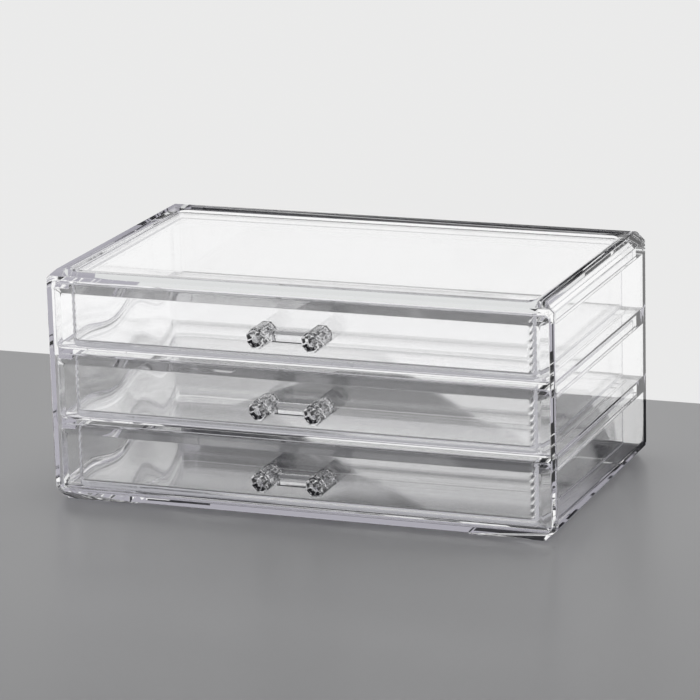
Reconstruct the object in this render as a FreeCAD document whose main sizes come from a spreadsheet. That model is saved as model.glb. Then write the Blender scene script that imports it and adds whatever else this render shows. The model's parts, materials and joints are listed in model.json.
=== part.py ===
import FreeCAD, Part

import math
import os

import Sketcher
from FreeCAD import Rotation, Vector

LEVELS = ("bottom", "middle", "top")
SHELVES = ("lower_shelf", "upper_shelf")
SIDES = {"left": -1, "right": 1}
ENDS = ("front", "rear")

# Sketcher's numbers for the points of a curve and for the origin of a sketch.
START, END, CENTRE = 1, 2, 3
SKETCH_ORIGIN = (-1, START)

UP = Vector(0, 0, 1)
ALONG_Y = Rotation(UP, Vector(0, 1, 0))
QUARTER_TURN = math.pi / 2
TOLERANCE = 1e-4

# Driving dimensions in millimetres: name, value, what it measures.
SIZES = (
    ("caseWidth", 240.0, "overall width of the case"),
    ("caseDepth", 138.0, "overall depth of the case, handles left out"),
    ("caseChamfer", 4.0, "45 degree chamfer along the four long edges of the case"),
    ("sideWall", 2.5, "thickness of the case's side walls"),
    ("baseThickness", 4.5, "thickness of the case's base"),
    ("roofThickness", 4.9, "thickness of the case's roof"),
    ("levelPitch", 33.0, "height from one drawer's running surface to the next"),
    ("shelfThickness", 2.2, "thickness of the shelves between the drawers"),
    ("boreRadius", 2.5, "corner radius of the case's opening and of what fits in it"),
    ("sillDrop", 1.6, "step down in the base in front of the lowest drawer's tray"),
    ("roofBevelHeight", 2.5, "height of the bevel on the roof's front edge"),
    ("roofBevelReach", 3.5, "depth of the bevel on the roof's front edge"),
    ("recessSide", 10.0, "from the case's side to the recess in the roof"),
    ("recessFront", 4.0, "from the case's front to the recess in the roof"),
    ("recessBack", 7.5, "from the case's back to the recess in the roof"),
    ("recessDepth", 2.2, "depth of the recess in the roof"),
    ("recessRadius", 4.0, "corner radius of the recess in the roof"),
    ("backThickness", 2.5, "thickness of the back panel"),
    ("glueLine", 0.1, "joint between two pieces that are bonded together"),
    ("railWidth", 6.9, "width of a guide rail, out from the side wall"),
    ("railHeight", 5.0, "height of the guide rails and strips"),
    ("stripDepth", 5.0, "depth of the strip along the back of a bay"),
    ("guideGap", 0.6, "clearance between a tray and its rails"),
    ("footHeight", 0.8, "height of the corner feet"),
    ("footLength", 36.0, "length of a foot along the case's width"),
    ("footDepth", 30.0, "length of a foot along the case's depth"),
    ("footInset", 5.0, "from the case's side to a foot"),
    ("footRadius", 2.0, "corner radius of a foot"),
    ("panelGap", 0.3, "clearance around a drawer's front panel"),
    ("panelSpacing", 1.5, "gap between one front panel and the next"),
    ("panelInset", 0.4, "from the case's front to the panels' faces"),
    ("panelThickness", 4.0, "thickness of a front panel"),
    ("panelBevelWidth", 4.0, "width of the bevel round a panel's face"),
    ("panelBevelDepth", 1.5, "depth of the bevel round a panel's face"),
    ("panelFaceRadius", 0.8, "corner radius of the flat inside that bevel"),
    ("seatGap", 0.3, "clearance between a closed panel and what stops it"),
    ("runningGap", 0.3, "clearance under a tray"),
    ("trayTopGap", 1.2, "clearance above a tray"),
    ("trayWall", 1.8, "thickness of a tray's walls"),
    ("trayFloor", 2.0, "thickness of a tray's floor"),
    ("trayFloorRadius", 1.5, "inside radius where a tray's walls meet its floor"),
    ("trayCornerExtra", 0.5, "how much rounder a tray's upright corners are"),
    ("knobSpacing", 26.0, "distance between the axes of a handle's knobs"),
    ("knobFlats", 9.0, "width of an octagonal knob across its flats"),
    ("knobLength", 14.5, "how far a knob stands out of its panel"),
    ("knobRim", 0.6, "chamfer round a knob's face"),
    ("dishRadius", 3.6, "radius of the dish in a knob's face"),
    ("dimpleRadius", 2.0, "radius of the flat at the bottom of that dish"),
    ("dishDepth", 0.8, "depth of that dish"),
    ("barFlats", 5.2, "width of the octagonal bar across its flats"),
    ("barStandoff", 7.0, "from a panel's face to the axis of its bar"),
    ("pinDiameter", 3.0, "diameter of a handle's pins"),
    ("pinFit", 0.05, "radial clearance round a pin"),
    ("pinBite", 4.0, "how far a pin reaches into its knob"),
)

# Lengths that follow from the sheet, as expressions.
# Y is measured back from the case's front and Z up from what the feet stand on.
HALF_WIDTH = "(Sizes.caseWidth / 2)"
INNER_HALF = f"({HALF_WIDTH} - Sizes.sideWall)"
BACK_FACE = "(Sizes.caseDepth - Sizes.backThickness)"
FLOOR_TOP = "(Sizes.footHeight + Sizes.baseThickness)"
BAY_TOP = f"({FLOOR_TOP} + Sizes.levelPitch - Sizes.shelfThickness)"
OPENING_TOP = f"({BAY_TOP} + {len(SHELVES)} * Sizes.levelPitch)"
CASE_TOP = f"({OPENING_TOP} + Sizes.roofThickness)"
SILL = f"({FLOOR_TOP} - Sizes.sillDrop)"

PANEL_HALF = f"({INNER_HALF} - Sizes.panelGap)"
PANEL_BOTTOM = f"({SILL} + Sizes.panelGap)"
PANEL_TOP = f"({PANEL_BOTTOM} + Sizes.levelPitch - Sizes.panelSpacing)"
PANEL_MIDDLE = f"(({PANEL_BOTTOM} + {PANEL_TOP}) / 2)"
PANEL_BACK = "(Sizes.panelInset + Sizes.panelThickness)"
BEVEL_BACK = "(Sizes.panelInset + Sizes.panelBevelDepth)"
STOP = f"({PANEL_BACK} + Sizes.seatGap)"

RAIL_INNER = f"({INNER_HALF} - Sizes.railWidth)"
RAIL_BOTTOM = f"({BAY_TOP} - Sizes.railHeight)"
STRIP_FRONT = f"({BACK_FACE} - Sizes.stripDepth)"

TRAY_HALF = f"({RAIL_INNER} - Sizes.guideGap)"
TRAY_FRONT = f"({PANEL_BACK} + Sizes.glueLine)"
TRAY_BACK = f"({STRIP_FRONT} - Sizes.guideGap)"
TRAY_BOTTOM = f"({FLOOR_TOP} + Sizes.runningGap)"
TRAY_TOP = f"({BAY_TOP} - Sizes.trayTopGap)"
TRAY_INSIDE = f"({TRAY_BOTTOM} + Sizes.trayFloor)"
TRAY_CORNER = "(Sizes.trayFloorRadius + Sizes.trayCornerExtra)"

KNOB_BACK = "(Sizes.panelInset - Sizes.glueLine)"
KNOB_FACE = "(Sizes.panelInset - Sizes.knobLength)"
KNOB_OFFSET = "(Sizes.knobSpacing / 2)"
BAR_AXIS = "(Sizes.panelInset - Sizes.barStandoff)"
PIN_BORE_END = "(Sizes.panelInset - Sizes.pinBite)"
PIN_HOLE_RADIUS = "(Sizes.pinDiameter / 2 + Sizes.pinFit)"

# The origin is the middle of the whole footprint, from the knobs' faces to the case's back.
FRONT_FACE = f"(-(Sizes.caseDepth + {KNOB_FACE}) / 2)"




def make_sheet(doc):
    sheet = doc.addObject("Spreadsheet::Sheet", "Sizes")
    for row, (alias, value, meaning) in enumerate(SIZES, start=1):
        sheet.set(f"A{row}", alias)
        sheet.set(f"B{row}", str(value))
        sheet.setAlias(f"B{row}", alias)
        sheet.set(f"C{row}", meaning)
    doc.recompute()


def number(thing, expression):
    return float(thing.evalExpression(expression))


def put_in_place(part, label, level, x="0", y="0", z="0"):
    """Names a sub-part and sets it at its drawer level, with Y counted from the case's front."""
    part.Label = label
    part.setExpression("Placement.Base.x", x)
    part.setExpression("Placement.Base.y", f"{FRONT_FACE} + {y}")
    part.setExpression("Placement.Base.z", f"{level} * Sizes.levelPitch + {z}")
    return part


def new_body(doc, label, level=0):
    return put_in_place(doc.addObject("PartDesign::Body", label), label, level)


def new_box(doc, label, level, x_span, y_span, z_span):
    box = doc.addObject("Part::Box", label)
    for side, (low, high) in zip(("Length", "Width", "Height"), (x_span, y_span, z_span)):
        box.setExpression(side, f"{high} - {low}")
    return put_in_place(box, label, level, x_span[0], y_span[0], z_span[0])


def new_sketch(body, name, role, offset="0"):
    sketch = body.newObject("Sketcher::SketchObject", name)
    planes = [datum for datum in body.Origin.OriginFeatures if datum.Role == role]
    sketch.AttachmentSupport = [(planes[0], "")]
    sketch.MapMode = "FlatFace"
    sketch.setExpression("AttachmentOffset.Base.z", offset)
    return sketch


def bind(sketch, name, kind, where, expression):
    """Adds a dimension to a sketch and ties it to an expression of the sheet."""
    dimension = Sketcher.Constraint(kind, *where, number(sketch, expression))
    index = sketch.addConstraint(dimension)
    sketch.renameConstraint(index, name)
    sketch.setExpression(f".Constraints.{name}", expression)


def bind_point(sketch, geometry, point, x, y):
    bind(sketch, f"x{geometry}", "DistanceX", (*SKETCH_ORIGIN, geometry, point), x)
    bind(sketch, f"y{geometry}", "DistanceY", (*SKETCH_ORIGIN, geometry, point), y)


def draw_polygon(sketch, corners):
    """Draws a closed outline through its corners, which are pairs of expressions."""
    first = sketch.GeometryCount
    points = [Vector(number(sketch, x), number(sketch, y)) for x, y in corners]
    for start, end in zip(points, points[1:] + points[:1]):
        sketch.addGeometry(Part.LineSegment(start, end))
    for index, (x, y) in enumerate(corners):
        following = first + (index + 1) % len(corners)
        sketch.addConstraint(Sketcher.Constraint("Coincident", first + index, END, following, START))
        bind_point(sketch, first + index, START, x, y)


def draw_octagon(sketch, x, y, flats):
    """Draws an octagon that stands on one of its flats, round a centre at x, y."""
    far = f"{flats} / 2"
    near = f"{flats} / 2 * tan(22.5 deg)"
    quadrants = ("++", "-+", "--", "+-")
    corners = []
    for turn, (x_sign, y_sign) in enumerate(quadrants):
        pair = [(far, near), (near, far)]
        for across, up in pair if turn % 2 == 0 else reversed(pair):
            corners.append((f"{x} {x_sign} {across}", f"{y} {y_sign} {up}"))
    draw_polygon(sketch, corners)


def draw_circle(sketch, x, y, radius):
    index = sketch.GeometryCount
    centre = Vector(number(sketch, x), number(sketch, y))
    sketch.addGeometry(Part.Circle(centre, UP, number(sketch, radius)))
    bind(sketch, f"radius{index}", "Radius", (index,), radius)
    bind_point(sketch, index, CENTRE, x, y)


def draw_rounded_rectangle(sketch, left, right, bottom, top, radius):
    x0, x1, y0, y1, r = (number(sketch, text) for text in (left, right, bottom, top, radius))
    sides = (
        (Vector(x0 + r, y0), Vector(x1 - r, y0)),
        (Vector(x1, y0 + r), Vector(x1, y1 - r)),
        (Vector(x1 - r, y1), Vector(x0 + r, y1)),
        (Vector(x0, y1 - r), Vector(x0, y0 + r)),
    )
    centres = (
        Vector(x1 - r, y0 + r),
        Vector(x1 - r, y1 - r),
        Vector(x0 + r, y1 - r),
        Vector(x0 + r, y0 + r),
    )
    for corner, (side, centre) in enumerate(zip(sides, centres)):
        start = corner * QUARTER_TURN - QUARTER_TURN
        circle = Part.Circle(centre, UP, r)
        sketch.addGeometry(Part.LineSegment(*side))
        sketch.addGeometry(Part.ArcOfCircle(circle, start, start + QUARTER_TURN))
    bottom_line, first_arc, right_line, _, top_line, _, left_line, _ = range(8)
    for line in (bottom_line, right_line, top_line, left_line):
        arc = line + 1
        following = (line + 2) % sketch.GeometryCount
        direction = "Horizontal" if line in (bottom_line, top_line) else "Vertical"
        sketch.addConstraint(Sketcher.Constraint(direction, line))
        sketch.addConstraint(Sketcher.Constraint("Tangent", line, END, arc, START))
        sketch.addConstraint(Sketcher.Constraint("Tangent", arc, END, following, START))
        if arc != first_arc:
            sketch.addConstraint(Sketcher.Constraint("Equal", first_arc, arc))
    bind(sketch, "radius", "Radius", (first_arc,), radius)
    bind(sketch, "left", "DistanceX", (*SKETCH_ORIGIN, left_line, START), left)
    bind(sketch, "right", "DistanceX", (*SKETCH_ORIGIN, right_line, START), right)
    bind(sketch, "bottom", "DistanceY", (*SKETCH_ORIGIN, bottom_line, START), bottom)
    bind(sketch, "top", "DistanceY", (*SKETCH_ORIGIN, top_line, START), top)


def new_pad(body, sketch, length, symmetric=False):
    pad = body.newObject("PartDesign::Pad", f"{sketch.Name}_pad")
    pad.Profile = sketch
    pad.SideType = "Symmetric" if symmetric else "One side"
    pad.setExpression("Length", length)
    return pad


def new_pocket(body, sketch, length):
    """Cuts back from the sketch, against the way its plane faces."""
    pocket = body.newObject("PartDesign::Pocket", f"{sketch.Name}_pocket")
    pocket.Profile = sketch
    pocket.setExpression("Length", length)
    return pocket


def new_through_pocket(body, sketch):
    pocket = body.newObject("PartDesign::Pocket", f"{sketch.Name}_pocket")
    pocket.Profile = sketch
    pocket.Type = "ThroughAll"
    pocket.SideType = "Symmetric"
    return pocket


def edges_where(feature, test):
    """Names the edges of a feature whose bounding box passes a test."""
    feature.Document.recompute()
    return [
        f"Edge{index}"
        for index, edge in enumerate(feature.Shape.Edges, start=1)
        if test(edge.BoundBox)
    ]


def new_dressing(body, kind, base, edges, property_name, size):
    """Adds a fillet or a chamfer along some edges of a feature."""
    dressing = body.newObject(f"PartDesign::{kind}", f"{body.Name}_{kind.lower()}_{len(body.Group)}")
    dressing.Base = (base, edges)
    dressing.setExpression(property_name, size)
    return dressing


def case_shell(doc):
    body = new_body(doc, "case_shell")
    block = new_sketch(body, "case_outline", "XZ_Plane", "-Sizes.caseDepth / 2")
    draw_polygon(block, [
        (f"-{HALF_WIDTH}", "Sizes.footHeight"),
        (HALF_WIDTH, "Sizes.footHeight"),
        (HALF_WIDTH, CASE_TOP),
        (f"-{HALF_WIDTH}", CASE_TOP),
    ])
    pad = new_pad(body, block, "Sizes.caseDepth", symmetric=True)
    depth = number(body, "Sizes.caseDepth")
    long_edges = edges_where(pad, lambda box: abs(box.YLength - depth) < TOLERANCE)
    new_dressing(body, "Chamfer", pad, long_edges, "Size", "Sizes.caseChamfer")

    opening = new_sketch(body, "case_opening", "XZ_Plane")
    draw_rounded_rectangle(
        opening, f"-{INNER_HALF}", INNER_HALF, FLOOR_TOP, OPENING_TOP, "Sizes.boreRadius"
    )
    new_through_pocket(body, opening)

    sill = new_sketch(body, "case_sill", "XZ_Plane")
    draw_rounded_rectangle(sill, f"-{INNER_HALF}", INNER_HALF, SILL, OPENING_TOP, "Sizes.boreRadius")
    new_pocket(body, sill, STOP)

    recess = new_sketch(body, "case_recess", "XY_Plane", CASE_TOP)
    recess_half = f"({HALF_WIDTH} - Sizes.recessSide)"
    recess_back = "(Sizes.caseDepth - Sizes.recessBack)"
    draw_rounded_rectangle(
        recess, f"-{recess_half}", recess_half, "Sizes.recessFront", recess_back, "Sizes.recessRadius"
    )
    new_pocket(body, recess, "Sizes.recessDepth")

    bevel = new_sketch(body, "case_bevel", "YZ_Plane")
    bevel_low = f"{CASE_TOP} - Sizes.roofBevelHeight"
    draw_polygon(bevel, [("0", bevel_low), ("Sizes.roofBevelReach", CASE_TOP), ("0", CASE_TOP)])
    new_through_pocket(body, bevel)
    return body


def back_panel(doc):
    body = new_body(doc, "back_panel")
    outline = new_sketch(body, "back_outline", "XZ_Plane", "-Sizes.caseDepth")
    half = f"({INNER_HALF} - Sizes.glueLine)"
    draw_rounded_rectangle(
        outline,
        f"-{half}",
        half,
        f"{FLOOR_TOP} + Sizes.glueLine",
        f"{OPENING_TOP} - Sizes.glueLine",
        "Sizes.boreRadius",
    )
    new_pad(body, outline, "Sizes.backThickness")
    return body


def shelf(doc, label, level):
    half = f"({INNER_HALF} - Sizes.glueLine)"
    return new_box(
        doc,
        label,
        level,
        (f"(-{half})", half),
        (STOP, f"({BACK_FACE} - Sizes.glueLine)"),
        (BAY_TOP, f"({BAY_TOP} + Sizes.shelfThickness)"),
    )


def guide_rail(doc, label, level, side):
    """A square rail, rounded along the edge that lies in the corner of the case's opening."""
    body = new_body(doc, label, level)
    section = new_sketch(body, f"{label}_section", "XZ_Plane", f"-{BACK_FACE} + Sizes.glueLine")
    near = f"{side} * {RAIL_INNER}"
    far = f"{side} * ({INNER_HALF} - Sizes.glueLine)"
    top = f"{BAY_TOP} - Sizes.glueLine"
    draw_polygon(section, [(near, RAIL_BOTTOM), (far, RAIL_BOTTOM), (far, top), (near, top)])
    bar = new_pad(body, section, f"{BACK_FACE} - Sizes.glueLine - {STOP}")
    corner = Vector(number(body, far), 0, number(body, top))
    corner_edges = edges_where(
        bar,
        lambda box: abs(box.Center.x - corner.x) < TOLERANCE and abs(box.Center.z - corner.z) < TOLERANCE,
    )
    new_dressing(body, "Fillet", bar, corner_edges, "Radius", "Sizes.boreRadius")
    return body


def rear_strip(doc, label, level):
    half = f"({RAIL_INNER} - Sizes.glueLine)"
    return new_box(
        doc,
        label,
        level,
        (f"(-{half})", half),
        (STRIP_FRONT, f"({BACK_FACE} - Sizes.glueLine)"),
        (RAIL_BOTTOM, f"({BAY_TOP} - Sizes.glueLine)"),
    )


def foot(doc, label, side, end):
    body = new_body(doc, label)
    outline = new_sketch(body, f"{label}_outline", "XY_Plane")
    outer = f"({HALF_WIDTH} - Sizes.footInset)"
    inner = f"({outer} - Sizes.footLength)"
    x_span = (inner, outer) if side > 0 else (f"-{outer}", f"-{inner}")
    y_span = ("0", "Sizes.footDepth")
    if end == "rear":
        y_span = ("Sizes.caseDepth - Sizes.footDepth", "Sizes.caseDepth")
    draw_rounded_rectangle(outline, *x_span, *y_span, "Sizes.footRadius")
    new_pad(body, outline, "Sizes.footHeight")
    return body


def tray(doc, label, level):
    body = new_body(doc, label, level)
    outline = new_sketch(body, f"{label}_outline", "XY_Plane", TRAY_BOTTOM)
    draw_rounded_rectangle(
        outline, f"-{TRAY_HALF}", TRAY_HALF, TRAY_FRONT, TRAY_BACK, f"{TRAY_CORNER} + Sizes.trayWall"
    )
    block = new_pad(body, outline, f"{TRAY_TOP} - {TRAY_BOTTOM}")
    bottom = number(body, TRAY_BOTTOM)
    under_edges = edges_where(block, lambda box: abs(box.ZMax - bottom) < TOLERANCE)
    new_dressing(body, "Fillet", block, under_edges, "Radius", "Sizes.trayFloorRadius + Sizes.trayWall")

    hollow = new_sketch(body, f"{label}_hollow", "XY_Plane", TRAY_TOP)
    inner_half = f"({TRAY_HALF} - Sizes.trayWall)"
    draw_rounded_rectangle(
        hollow,
        f"-{inner_half}",
        inner_half,
        f"{TRAY_FRONT} + Sizes.trayWall",
        f"{TRAY_BACK} - Sizes.trayWall",
        TRAY_CORNER,
    )
    inside = new_pocket(body, hollow, f"{TRAY_TOP} - {TRAY_INSIDE}")
    floor = number(body, TRAY_INSIDE)
    floor_edges = edges_where(
        inside, lambda box: abs(box.ZMax - floor) < TOLERANCE and abs(box.ZMin - floor) < TOLERANCE
    )
    new_dressing(body, "Fillet", inside, floor_edges, "Radius", "Sizes.trayFloorRadius")
    return body


def draw_pin_circles(sketch, radius):
    for side in SIDES.values():
        draw_circle(sketch, f"{side} * {KNOB_OFFSET}", PANEL_MIDDLE, radius)


def front_panel(doc, label, level):
    body = new_body(doc, label, level)
    outer = (f"-{PANEL_HALF}", PANEL_HALF, PANEL_BOTTOM, PANEL_TOP)
    slab = new_sketch(body, f"{label}_slab", "XZ_Plane", f"-{PANEL_BACK}")
    draw_rounded_rectangle(slab, *outer, "Sizes.boreRadius")
    new_pad(body, slab, f"{PANEL_BACK} - {BEVEL_BACK}")

    rim = new_sketch(body, f"{label}_rim", "XZ_Plane", f"-{BEVEL_BACK}")
    draw_rounded_rectangle(rim, *outer, "Sizes.boreRadius")
    face = new_sketch(body, f"{label}_face", "XZ_Plane", "-Sizes.panelInset")
    face_half = f"({PANEL_HALF} - Sizes.panelBevelWidth)"
    draw_rounded_rectangle(
        face,
        f"-{face_half}",
        face_half,
        f"{PANEL_BOTTOM} + Sizes.panelBevelWidth",
        f"{PANEL_TOP} - Sizes.panelBevelWidth",
        "Sizes.panelFaceRadius",
    )
    bevel = body.newObject("PartDesign::AdditiveLoft", f"{label}_bevel")
    bevel.Profile = rim
    bevel.Sections = [face]

    holes = new_sketch(body, f"{label}_pin_holes", "XZ_Plane")
    draw_pin_circles(holes, PIN_HOLE_RADIUS)
    new_through_pocket(body, holes)
    return body


def handle(doc, label, level):
    body = new_body(doc, label, level)
    knobs = new_sketch(body, f"{label}_knobs", "XZ_Plane", f"-{KNOB_BACK}")
    for side in SIDES.values():
        draw_octagon(knobs, f"{side} * {KNOB_OFFSET}", PANEL_MIDDLE, "Sizes.knobFlats")
    prisms = new_pad(body, knobs, f"{KNOB_BACK} - {KNOB_FACE}")
    face = number(body, KNOB_FACE)
    rims = edges_where(prisms, lambda box: abs(box.YMax - face) < TOLERANCE)
    new_dressing(body, "Chamfer", prisms, rims, "Size", "Sizes.knobRim")

    for name, side in SIDES.items():
        dish = body.newObject("PartDesign::SubtractiveCone", f"{label}_{name}_dish")
        dish.AttachmentSupport = knobs.AttachmentSupport
        dish.MapMode = "FlatFace"
        dish.setExpression("AttachmentOffset.Base.x", f"{side} * {KNOB_OFFSET}")
        dish.setExpression("AttachmentOffset.Base.y", PANEL_MIDDLE)
        dish.setExpression("AttachmentOffset.Base.z", f"-({KNOB_FACE} + Sizes.dishDepth)")
        dish.setExpression("Radius1", "Sizes.dimpleRadius")
        dish.setExpression("Radius2", "Sizes.dishRadius")
        dish.setExpression("Height", "Sizes.dishDepth")

    bar = new_sketch(body, f"{label}_bar", "YZ_Plane")
    draw_octagon(bar, BAR_AXIS, PANEL_MIDDLE, "Sizes.barFlats")
    new_pad(body, bar, "Sizes.knobSpacing", symmetric=True)

    bores = new_sketch(body, f"{label}_pin_bores", "XZ_Plane", f"-{PIN_BORE_END}")
    draw_pin_circles(bores, PIN_HOLE_RADIUS)
    new_pocket(body, bores, f"{KNOB_BACK} - {PIN_BORE_END}")
    return body


def handle_pins(doc, label, level):
    pins = []
    for name, side in SIDES.items():
        pin = doc.addObject("Part::Cylinder", f"{label}_{name}")
        pin.setExpression("Radius", "Sizes.pinDiameter / 2")
        pin.setExpression("Height", f"{PANEL_BACK} - {PIN_BORE_END} - Sizes.glueLine")
        pin.Placement.Rotation = ALONG_Y
        start = f"{PIN_BORE_END} + Sizes.glueLine"
        pins.append(
            put_in_place(pin, pin.Name, level, f"{side} * {KNOB_OFFSET}", start, PANEL_MIDDLE)
        )
    pair = doc.addObject("Part::Compound", label)
    pair.Label = label
    pair.Links = pins
    return pair


def build_case(doc):
    parts = [case_shell(doc), back_panel(doc)]
    for level, label in enumerate(SHELVES):
        parts.append(shelf(doc, label, level))
    for level, name in enumerate(LEVELS):
        for side_name, side in SIDES.items():
            parts.append(guide_rail(doc, f"{name}_{side_name}_guide_rail", level, side))
        parts.append(rear_strip(doc, f"{name}_rear_guide_strip", level))
    for end in ENDS:
        for side_name, side in SIDES.items():
            parts.append(foot(doc, f"{end}_{side_name}_foot", side, end))
    return parts


def build_drawer(doc, name, level):
    return [
        tray(doc, f"{name}_tray", level),
        front_panel(doc, f"{name}_front_panel", level),
        handle(doc, f"{name}_handle", level),
        handle_pins(doc, f"{name}_handle_pins", level),
    ]


def check_document(doc, parts):
    """Stops the build if any object failed, or if a feature left its body as it was."""
    failed = [item.Name for item in doc.Objects if {"Invalid", "Error"} & set(item.State)]
    if failed:
        raise RuntimeError(f"these objects failed: {failed}")
    for part in parts:
        if part.Shape.isNull() or not part.Shape.isValid() or not part.Shape.Solids:
            raise RuntimeError(f"{part.Label} has no valid solid")
    for body in doc.findObjects("PartDesign::Body"):
        steps = [item for item in body.Group if item.isDerivedFrom("PartDesign::Feature")]
        for before, after in zip(steps, steps[1:]):
            if abs(before.Shape.Volume - after.Shape.Volume) < TOLERANCE:
                raise RuntimeError(f"{after.Name} changes nothing")


def main():
    doc = FreeCAD.newDocument("organizer")
    make_sheet(doc)
    parts = build_case(doc)
    for level, name in enumerate(LEVELS):
        parts += build_drawer(doc, name, level)
    doc.recompute()
    check_document(doc, parts)
    os.makedirs("parts", exist_ok=True)
    for part in parts:
        part.Shape.exportStep(f"parts/{part.Label}.step")
        print(f"{part.Label}: {len(part.Shape.Solids)} solid(s), {part.Shape.Volume:.1f} mm3")


main()
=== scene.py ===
import json
import math

import bmesh
import bpy
from mathutils import Matrix, Vector


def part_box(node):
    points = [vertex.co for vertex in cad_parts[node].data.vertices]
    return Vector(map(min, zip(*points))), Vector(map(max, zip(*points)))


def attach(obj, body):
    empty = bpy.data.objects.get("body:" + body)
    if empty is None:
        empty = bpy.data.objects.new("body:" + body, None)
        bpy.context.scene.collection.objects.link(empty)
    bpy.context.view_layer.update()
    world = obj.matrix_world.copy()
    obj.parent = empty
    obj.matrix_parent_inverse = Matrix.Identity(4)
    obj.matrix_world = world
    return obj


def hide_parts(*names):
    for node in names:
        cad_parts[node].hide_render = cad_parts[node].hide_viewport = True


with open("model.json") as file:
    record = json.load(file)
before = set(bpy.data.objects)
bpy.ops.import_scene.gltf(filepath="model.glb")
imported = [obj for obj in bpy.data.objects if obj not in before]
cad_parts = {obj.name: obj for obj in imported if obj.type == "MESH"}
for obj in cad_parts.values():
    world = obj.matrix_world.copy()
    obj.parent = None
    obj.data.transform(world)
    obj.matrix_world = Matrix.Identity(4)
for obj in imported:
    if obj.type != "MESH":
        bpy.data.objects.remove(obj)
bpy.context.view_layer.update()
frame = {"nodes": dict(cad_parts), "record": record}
scene = bpy.context.scene
print("stage: frame loaded,", len(frame["nodes"]), "nodes")

levelNames = ("bottom", "middle", "top")
bodyOfNode = {node: body
              for body, nodes in frame["record"]["behaviour"]["bodies"].items() for node in nodes}


def cornersOf(nodeName):
    return [Vector(corner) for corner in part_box(nodeName)]


# small tools for node trees, used by the materials and the geometry trees

def addNode(tree, kind, x, y, **settings):
    node = tree.nodes.new(kind)
    node.location = (x, y)
    for name, value in settings.items():
        setattr(node, name, value)
    return node


def connect(tree, *wires):
    # each wire: the node it leaves and its output, the node it reaches and its input
    for source, outlet, target, inlet in wires:
        tree.links.new(source.outputs[outlet], target.inputs[inlet])


def feed(tree, socket, value):
    # value: a plain one, or the output of another node
    if isinstance(value, bpy.types.NodeSocket):
        tree.links.new(value, socket)
    else:
        socket.default_value = value


def newMaterial(name):
    material = bpy.data.materials.new(name)
    material.use_nodes = True
    material.node_tree.nodes.clear()
    return material


def newGeometryTree(name, sizes):
    # a tree whose named inputs are the sizes given, plus the material
    tree = bpy.data.node_groups.new(name, "GeometryNodeTree")
    for size in sizes:
        kind = "NodeSocketInt" if isinstance(sizes[size], int) else "NodeSocketFloat"
        tree.interface.new_socket(size, in_out="INPUT", socket_type=kind)
    tree.interface.new_socket("Material", in_out="INPUT", socket_type="NodeSocketMaterial")
    tree.interface.new_socket("Geometry", in_out="OUTPUT", socket_type="NodeSocketGeometry")
    return tree, addNode(tree, "NodeGroupInput", -1600, 0), addNode(tree, "NodeGroupOutput", 1400, 0)


def endTree(tree, sizes, geometry, result):
    real = addNode(tree, "GeometryNodeRealizeInstances", 1000, 0)
    paint = addNode(tree, "GeometryNodeSetMaterial", 1200, 0)
    feed(tree, real.inputs["Geometry"], geometry)
    connect(tree,
            (real, "Geometry", paint, "Geometry"),
            (sizes, "Material", paint, "Material"),
            (paint, "Geometry", result, "Geometry"))
    return tree


def growPiece(name, tree, sizes, material):
    # runs the tree once and keeps its plain mesh
    piece = newPiece(name, bpy.data.meshes.new(name))
    grow = piece.modifiers.new(tree.name, "NODES")
    grow.node_group = tree
    identifiers = {item.name: item.identifier
                   for item in tree.interface.items_tree if item.in_out == "INPUT"}
    for size, value in sizes.items():
        grow[identifiers[size]] = value
    grow[identifiers["Material"]] = material
    bakeModifiers(piece)
    return piece


def calculate(tree, first, second=0.0, operation="ADD", x=-1200, y=0):
    node = addNode(tree, "ShaderNodeMath", x, y, operation=operation)
    feed(tree, node.inputs[0], first)
    feed(tree, node.inputs[1], second)
    return node.outputs[0]


def mixTones(tree, factor, first, second, x, y):
    node = addNode(tree, "ShaderNodeMix", x, y, data_type="RGBA")
    feed(tree, node.inputs["Factor"], factor)
    feed(tree, node.inputs["A"], first)
    feed(tree, node.inputs["B"], second)
    return node.outputs["Result"]


def mapRange(tree, source, limits, x, y, ends=(0.0, 1.0), **settings):
    node = addNode(tree, "ShaderNodeMapRange", x, y, **settings)
    feed(tree, node.inputs["Value"], source)
    node.inputs["From Min"].default_value, node.inputs["From Max"].default_value = limits
    node.inputs["To Min"].default_value, node.inputs["To Max"].default_value = ends
    return node.outputs["Result"]


def vectorOf(tree, x=0.0, y=0.0, z=0.0, at=(-900, 0)):
    node = addNode(tree, "ShaderNodeCombineXYZ", *at)
    for axis, value in zip("XYZ", (x, y, z)):
        feed(tree, node.inputs[axis], value)
    return node.outputs["Vector"]


# clear plastic, one recipe for each kind of piece

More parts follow.
